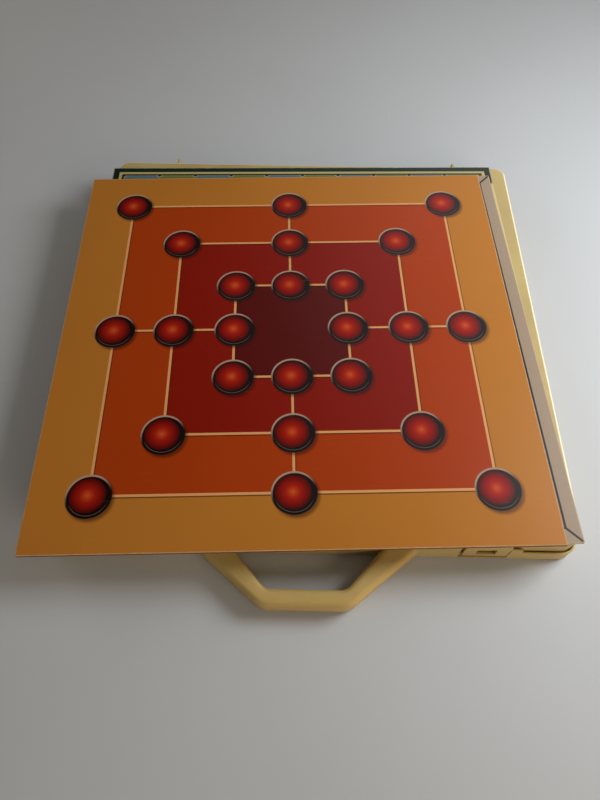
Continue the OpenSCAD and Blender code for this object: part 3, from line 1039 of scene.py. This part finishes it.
@dataclass
class RowOfMen(Piece):
    """Nine men in their channel of the tray, each turned its own way."""

    side: Side = Side.LEFT
    finish: Finish = IVORY
    count: int = 9
    radius: float = 11
    height: float = 5.5
    pitch: float = 22.8
    row_x: float = 135.85
    under: float = 3.2
    ring: float = 2.2
    dish: float = 0.6
    button: float = 3.2
    steps: int = 64

    def section(self) -> list[tuple[float, float]]:
        """Half of a man's section, from the middle of its top down to mid-height.

        Returns:
            Radius and height above mid-height of each point.
        """
        top, low, round_ = self.height / 2, self.height / 2 - self.dish, 0.55
        inner = self.radius - self.ring
        button, bead = self.button, low + 0.16
        points = [(0.0, top - 0.12), (button - 0.5, top - 0.05), (button - 0.15, top - 0.12),
                  (button, top - 0.3), (button + 0.2, low), (inner - 1.9, low),
                  (inner - 1.7, bead), (inner - 1.2, bead), (inner - 1.0, low),
                  (inner - 0.15, low), (inner + 0.05, top - 0.2), (inner + 0.25, top)]
        edge_steps = 4
        for step in range(edge_steps + 1):
            turn = math.radians(90 - 90 / edge_steps * step)
            points.append((self.radius - round_ + round_ * math.cos(turn),
                           top - round_ + round_ * math.sin(turn)))
        return points

    def one_man(self) -> bpy.types.Mesh:
        """Turns the section and its mirror image about the axis.

        Returns:
            A closed mesh about the origin, in metres.
        """
        upper = self.section()
        whole = upper + [(r, -z) for r, z in reversed(upper)]
        mesh = bpy.data.meshes.new("man")
        work = bmesh.new()
        rings = []
        for radius, z in whole:
            if radius == 0:
                rings.append([work.verts.new((0, 0, z * MM))])
                continue
            rings.append([
                work.verts.new((radius * MM * math.cos(a), radius * MM * math.sin(a), z * MM))
                for a in (2 * math.pi * k / self.steps for k in range(self.steps))])
        for above, below in zip(rings, rings[1:]):
            for k in range(self.steps):
                n = (k + 1) % self.steps
                if len(above) == 1:
                    work.faces.new((above[0], below[k], below[n]))
                elif len(below) == 1:
                    work.faces.new((above[n], above[k], below[0]))
                else:
                    work.faces.new((above[n], above[k], below[k], below[n]))
        bmesh.ops.recalc_face_normals(work, faces=work.faces)
        work.to_mesh(mesh)
        work.free()
        return mesh

    def build(self, tree: PathTree) -> bpy.types.Object:
        """Sets the men out in their row.

        Args:
            tree: The tree that repeats a man.

        Returns:
            The finished row.
        """
        made = from_mesh(self.name, self.one_man(), [self.finish])
        start = Vector((self.side.value * self.row_x, -self.pitch * (self.count - 1) / 2,
                        self.under + self.height / 2)) * MM
        tree.use_on(made, {
            "Count": self.count, "Start": start, "Spacing": Vector((0, self.pitch, 0)) * MM,
            "Seed": 7 + self.side.value, "Finish": self.finish.material()})
        settle(made)
        smooth(made, 50)
        return self.hand_over(made)


def row_tree() -> PathTree:
    """Builds the tree that repeats a man along a row, each turned at random.

    Returns:
        The tree.
    """
    made = PathTree("row_of_men")
    count, seed = made.inputs("Int", "Count", "Seed")
    start, spacing = made.inputs("Vector", "Start", "Spacing")
    finish, = made.inputs("Material", "Finish")
    node = made.tree.node
    line = node("GeometryNodeMeshLine", {"mode": "OFFSET"},
                {"Count": count, "Start Location": start, "Offset": spacing})
    chance = made.tree.value("FunctionNodeRandomValue", {"data_type": "FLOAT"},
                             {2: 0.0, 3: 2 * math.pi, "Seed": seed}, 1)
    spin = node("ShaderNodeCombineXYZ", inputs={2: chance})
    men = node("GeometryNodeInstanceOnPoints",
               inputs={"Points": line, "Instance": made.start, "Rotation": spin})
    return made.close(made.dress(men, finish))


@dataclass
class CarryingHandle(Piece):
    """A soft-edged bar bent twice, whose legs grow wider toward the front wall."""

    wall: float = -157.5
    reach: float = 33.2
    width: float = 10.0
    height: float = 13.5
    lift: float = 0.5
    edge: float = 3.4
    inside: float = 45
    outside: float = 49.5
    inner_bend: float = 8
    outer_bend: float = 14
    root_span: float = 86
    leg: float = 21.3
    finish: Finish = GRIP

    def build(self) -> bpy.types.Object:
        """Lofts the bar's section between its inner and its outer line.

        Returns:
            The finished handle.
        """
        tree = handle_tree()
        made = from_mesh(self.name, bpy.data.meshes.new(self.name), [])
        outer = self.wall - self.reach
        inner = outer + self.width
        leans = (math.atan2(self.wall - inner, (self.root_span - self.inside) / 2),
                 math.atan2(self.wall - outer, self.root_span / 2 + self.leg - self.outside / 2))
        tree.use_on(made, {
            "Wall": self.wall * MM, "Inner line": inner * MM, "Outer line": outer * MM,
            "Inner root": self.root_span / 2 * MM,
            "Outer root": (self.root_span / 2 + self.leg) * MM,
            "Inner span": self.inside / 2 * MM, "Outer span": self.outside / 2 * MM,
            "Inner bend": self.inner_bend * MM, "Outer bend": self.outer_bend * MM,
            "Height": self.height * MM, "Edge": self.edge * MM,
            "Level": (self.lift + self.height / 2) * MM,
            "Root stretch": 1 / math.sin(sum(leans) / 2), "Finish": self.finish.material()})
        settle(made)
        smooth(made, 40)
        return self.hand_over(made)


def bent_line(tree: Tree, wall: Value, root: Value, line: Value, span: Value, bend: Value,
              steps: int) -> bpy.types.Node:
    """Draws one side of the bar in plan: a straight grip with a bend and a leg at both ends.

    Args:
        tree: The tree.
        wall: Y of the wall.
        root: Half the distance between the line's ends at the wall.
        line: Y of the grip.
        span: Half the distance between the bends' corners.
        bend: The bends' radius.
        steps: The steps of a bend.

    Returns:
        The curve.
    """
    node = tree.node
    straight = node("GeometryNodeCurvePrimitiveLine")
    four = node("GeometryNodeResampleCurve", {"mode": "COUNT"},
                {"Curve": straight, "Count": 4})
    place = tree.value("GeometryNodeInputIndex") - 1.5
    end = abs(place).above(1)
    across = place.sign() * (span + (root - span) * end)
    spot = node("ShaderNodeCombineXYZ", inputs={0: across, 1: line + (wall - line) * end})
    path = node("GeometryNodeSetPosition", inputs={0: four, "Position": spot})
    return node("GeometryNodeFilletCurve", {"mode": "POLY"},
                {"Curve": path, "Radius": bend, "Count": steps})


def handle_tree(bend_steps: int = 14, edge_steps: int = 8) -> PathTree:
    """Builds the tree that lofts a rounded section from one line of the bar to the other.

    Args:
        bend_steps: Steps of a bend.
        edge_steps: Steps of each rounded edge.

    Returns:
        The tree.
    """
    made = PathTree("loft_handle")
    tree, node = made.tree, made.tree.node
    wall, height, edge, level, stretch = made.inputs(
        "Float", "Wall", "Height", "Edge", "Level", "Root stretch")
    finish, = made.inputs("Material", "Finish")
    lines = []
    for side in ("Inner", "Outer"):
        root, line, span, bend = made.inputs(
            "Float", *(f"{side} {part}" for part in ("root", "line", "span", "bend")))
        lines.append(bent_line(tree, wall, root, line, span, bend, bend_steps))
    stations, around = 2 * bend_steps + 4, 4 * (edge_steps + 1)
    grid = node("GeometryNodeMeshGrid",
                inputs={"Vertices X": stations + 2, "Vertices Y": around + 1})
    index = tree.value("GeometryNodeInputIndex")
    row = ((index + 0.5) / (around + 1)).floor()
    column = (index - row * (around + 1)).modulo(around)
    quarter = ((column + 0.5) / (edge_steps + 1)).floor()
    turn = (quarter + (column - quarter * (edge_steps + 1)) / edge_steps) * (math.pi / 2)
    far = abs(quarter - 1.5).above(1)
    upward = (quarter.below(1.5) - 0.5) * 2
    station = (row - 1).most(0).least(stations - 1)
    at_root = abs(station * 2 - (stations - 1)).above(stations - 2)
    capped = abs(row * 2 - (stations + 1)).above(stations)
    near, away = (tree.split(sample_point(tree, curve, station)) for curve in lines)
    dx, dy = away[0] - near[0], away[1] - near[1]
    rounding = (far * -2 + 1 + turn.cosine()) * edge * (at_root * (stretch - 1) + 1)
    share = (far + rounding / dx.length(dy)) * (1 - capped) + capped * 0.5
    rise = (upward * (height / 2 - edge) + turn.sine() * edge) * (1 - capped)
    spot = node("ShaderNodeCombineXYZ", inputs={
        0: near[0] + dx * share, 1: near[1] + dy * share, 2: level + rise})
    bar = node("GeometryNodeSetPosition", inputs={0: grid, "Position": spot})
    closed = node("GeometryNodeMergeByDistance", inputs={0: bar, "Distance": TOUCH})
    return made.close(made.dress(closed, finish))


def sample_point(tree: Tree, curve: bpy.types.Node, index: Value) -> Value:
    """Looks up the place of one of a curve's points.

    Args:
        tree: The tree.
        curve: The curve.
        index: The point's number.

    Returns:
        The place as a vector.
    """
    where = tree.node("GeometryNodeInputPosition")
    return tree.value("GeometryNodeSampleIndex",
                      {"data_type": "FLOAT_VECTOR", "domain": "POINT"},
                      {"Geometry": curve, "Value": where, "Index": index})


@dataclass(frozen=True)
class Lamp:
    """A square soft lamp that faces the case, in metres and watts."""

    name: str
    at: tuple[float, float, float]
    size: float
    power: float
    colour: Colour
    mirrored: bool = True

    def build(self) -> None:
        """Makes the lamp, which the camera doesn't see and glossy surfaces only if mirrored."""
        data = bpy.data.lights.new(self.name, "AREA")
        data.shape, data.size = "SQUARE", self.size
        data.energy, data.color = self.power, self.colour
        lamp = add(self.name, data)
        lamp.location = self.at
        lamp.rotation_mode = "QUATERNION"
        lamp.rotation_quaternion = Vector(self.at).to_track_quat("Z", "Y")
        lamp.visible_camera = False
        lamp.visible_glossy = self.mirrored


@dataclass
class Studio:
    """Floor, soft lamps and the camera at the photograph's place."""

    eye: tuple[float, float, float] = (-3.106, -270.338, 366.509)
    right: tuple[float, float, float] = (0.99979379, 0.01961508, 0.00525658)
    up: tuple[float, float, float] = (-0.01953969, 0.85872463, 0.51206465)
    lens: float = 28.5125
    sensor: float = 36.0
    floor: tuple[Colour, Colour] = (ink(189, 193, 197), ink(180, 183, 186))
    floor_half: float = 6.0
    fade: tuple[float, float] = (590, 1080)
    lamps: tuple[Lamp, ...] = (
        Lamp("key", (0.50, 0.06, 0.42), 0.3, 3.45, (0.97, 0.99, 1.0)),
        Lamp("room", (0.70, -1.00, 0.40), 0.7, 6.6, (1.0, 0.80, 0.60), mirrored=False),
        Lamp("back", (-1.10, 0.70, 0.55), 0.8, 3.0, (1.0, 0.92, 0.82), mirrored=False))
    world: Colour = (0.150, 0.135, 0.117)
    window_side: tuple[float, float, float] = (0.50, 0.62, 0.60)
    window: tuple[Colour, Colour] = ((0.05, 0.047, 0.044), (2.0, 2.07, 2.14))
    backdrop: Colour = ink(198, 199, 200)

    def build(self) -> None:
        """Makes the floor, the lamps and the camera."""
        self._floor()
        for lamp in self.lamps:
            lamp.build()
        self._sky()
        bpy.context.scene.view_settings.view_transform = "Standard"
        self._camera()
        log.info("studio: floor, %d lamps and camera", len(self.lamps))

    def _sky(self) -> None:
        """Makes a dim warm room with a pale backdrop, whose gloss comes from the window's side."""
        sky = bpy.data.worlds.new("soft_room")
        tree = Tree.blank(sky)
        toward = tree.value("ShaderNodeVectorMath", {"operation": "DOT_PRODUCT"}, {
            0: tree.value("ShaderNodeTexCoord", output="Generated"), 1: self.window_side}, "Value")
        gloss = tree.mix(toward.step(0.80, 0.98), *self.window)
        seen = tree.ray("Is Camera Ray").most(tree.ray("Is Transmission Ray"))
        tint = tree.layers(self.world, (tree.ray("Is Glossy Ray"), gloss), (seen, self.backdrop))
        back = tree.node("ShaderNodeBackground", inputs={0: tint})
        tree.node("ShaderNodeOutputWorld", inputs={0: back})
        bpy.context.scene.world = sky

    def _floor(self) -> None:
        """Makes the plain pale floor, which fades into the backdrop far from the case."""
        mesh = bpy.data.meshes.new("floor")
        low, high = -self.floor_half, self.floor_half
        corners = [(low, low, 0), (high, low, 0), (high, high, 0), (low, high, 0)]
        mesh.from_pydata(corners, [], [(0, 1, 2, 3)])
        material = bpy.data.materials.new("finish_floor")
        tree = Tree.blank(material)
        place = tree.place()
        cloud = tree.noise(place, 160, 3, 0.5)
        tint = tree.mix(cloud.step(0.3, 0.7) * 0.3, *self.floor)
        shader = tree.node("ShaderNodeBsdfPrincipled",
                           inputs={"Base Color": tint, "Roughness": 0.55})
        x, y, _ = tree.split(place)
        far = x.length(y).step(*self.fade) * tree.ray("Is Camera Ray")
        plain = tree.node("ShaderNodeEmission", inputs={"Color": self.backdrop, "Strength": 1.0})
        faded = tree.node("ShaderNodeMixShader", inputs={0: far, 1: shader, 2: plain})
        tree.node("ShaderNodeOutputMaterial", inputs={"Surface": faded})
        mesh.materials.append(material)
        add("floor", mesh)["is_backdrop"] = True

    def _camera(self) -> None:
        """Makes the camera at the photograph's place and angle."""
        data = bpy.data.cameras.new("camera")
        data.lens, data.sensor_width, data.sensor_fit = self.lens, self.sensor, "AUTO"
        data.clip_start, data.clip_end = 0.01, 50
        camera = add("camera", data)
        right, up = Vector(self.right), Vector(self.up)
        turn = Matrix((right, up, right.cross(up).normalized())).transposed().to_4x4()
        camera.matrix_world = Matrix.Translation(Vector(self.eye) * MM) @ turn
        bpy.context.scene.camera = camera


@dataclass
class PlasticCase:
    """The case: base, lid, latches, hinge pins, handle and tray, with the softness of edges."""

    shell_edge: float = 0.35
    tray_edge: float = 0.55
    latch_edge: float = 0.25
    pin_edge: float = 0.2

    def build(self) -> list[bpy.types.Object]:
        """Makes every plastic piece of the case.

        Returns:
            The pieces.
        """
        shell, slot = self.shell_edge, "case_plastic"
        copies = [
            SoftCopy("base_moulding", "case", slot, ("base_shell",), CREAM, shell),
            SoftCopy("lid_moulding", "lid", slot, ("lid_shell",), LID, shell),
            SoftCopy("tray_forming", "case", "tray_plastic", ("insert_tray",), TRAY,
                     self.tray_edge)]
        for side in Side:
            word = side.name.lower()
            latch, pin = f"latch_{word}", f"hinge_pin_{word}"
            copies += [
                SoftCopy(f"latch_plate_{word}", latch, slot, (latch,), CREAM, self.latch_edge),
                SoftCopy(f"hinge_rod_{word}", "case", "pin_plastic", (pin,), PIN, self.pin_edge)]
        handle = CarryingHandle("handle_bar", "case", "handle_plastic", ("handle",))
        return [copy.build() for copy in copies] + [handle.build()]


@dataclass
class BoardStack:
    """The three boards as they lie on the lid."""

    low: tuple[float, float, float] = (-3.3, 0.4, 1.7)
    middle: tuple[float, float, float] = (-3.4, -14.3, 2.6)
    top: tuple[float, float, float] = (-13.3, -16, 2.4)

    def build(self) -> list[bpy.types.Object]:
        """Makes the boards from the bottom up.

        Returns:
            The boards.
        """
        tree = board_tree()
        made = []
        for level, name, at, kind, core, lip in (
                (Level.LOW, "draughts_board", self.low, DraughtsPrint,
                 ink(122, 116, 100), ink(178, 172, 150)),
                (Level.MIDDLE, "framed_board", self.middle, FramedPrint,
                 ink(160, 152, 138), ink(226, 220, 208)),
                # The morris board's edge colours are its own brown edge, darkened further with
                # painted shade.
                (Level.TOP, "morris_board", self.top, MorrisPrint,
                 ink(104, 68, 40), ink(142, 88, 40))):
            slot = name.replace("board", "print")
            face = kind(slot, at[:2], at[2])
            board = GameBoard(name + "_sheet", name, slot, (name,), level, at[:2], at[2],
                              core=core, lip=lip, face=face)
            made.append(board.build(tree))
        return made


@dataclass
class MenInTray:
    """Nine light men on the left and nine dark men on the right."""

    def build(self) -> list[bpy.types.Object]:
        """Makes both rows.

        Returns:
            The two rows.
        """
        tree = row_tree()
        made = []
        for side, shade, finish in ((Side.LEFT, "light", IVORY), (Side.RIGHT, "dark", EBONY)):
            nodes = tuple(f"{shade}_man_{i}" for i in range(1, 10))
            row = RowOfMen(f"{shade}_men", "case", f"{shade}_man", nodes, side, finish)
            made.append(row.build(tree))
        return made


def write_size() -> None:
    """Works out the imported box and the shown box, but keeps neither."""
    boxes = {"cad": CAD_BOX, "visual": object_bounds()}
    {name: [list(corner) for corner in box] for name, box in boxes.items()}


def main() -> None:
    """Builds the studio, the case, the men and the boards, in that order."""
    Studio().build()
    pieces = PlasticCase().build() + MenInTray().build() + BoardStack().build()
    log.info("faces in all: %d", sum(len(piece.data.polygons) for piece in pieces))
    write_size()


if __name__ == "__main__":
    main()
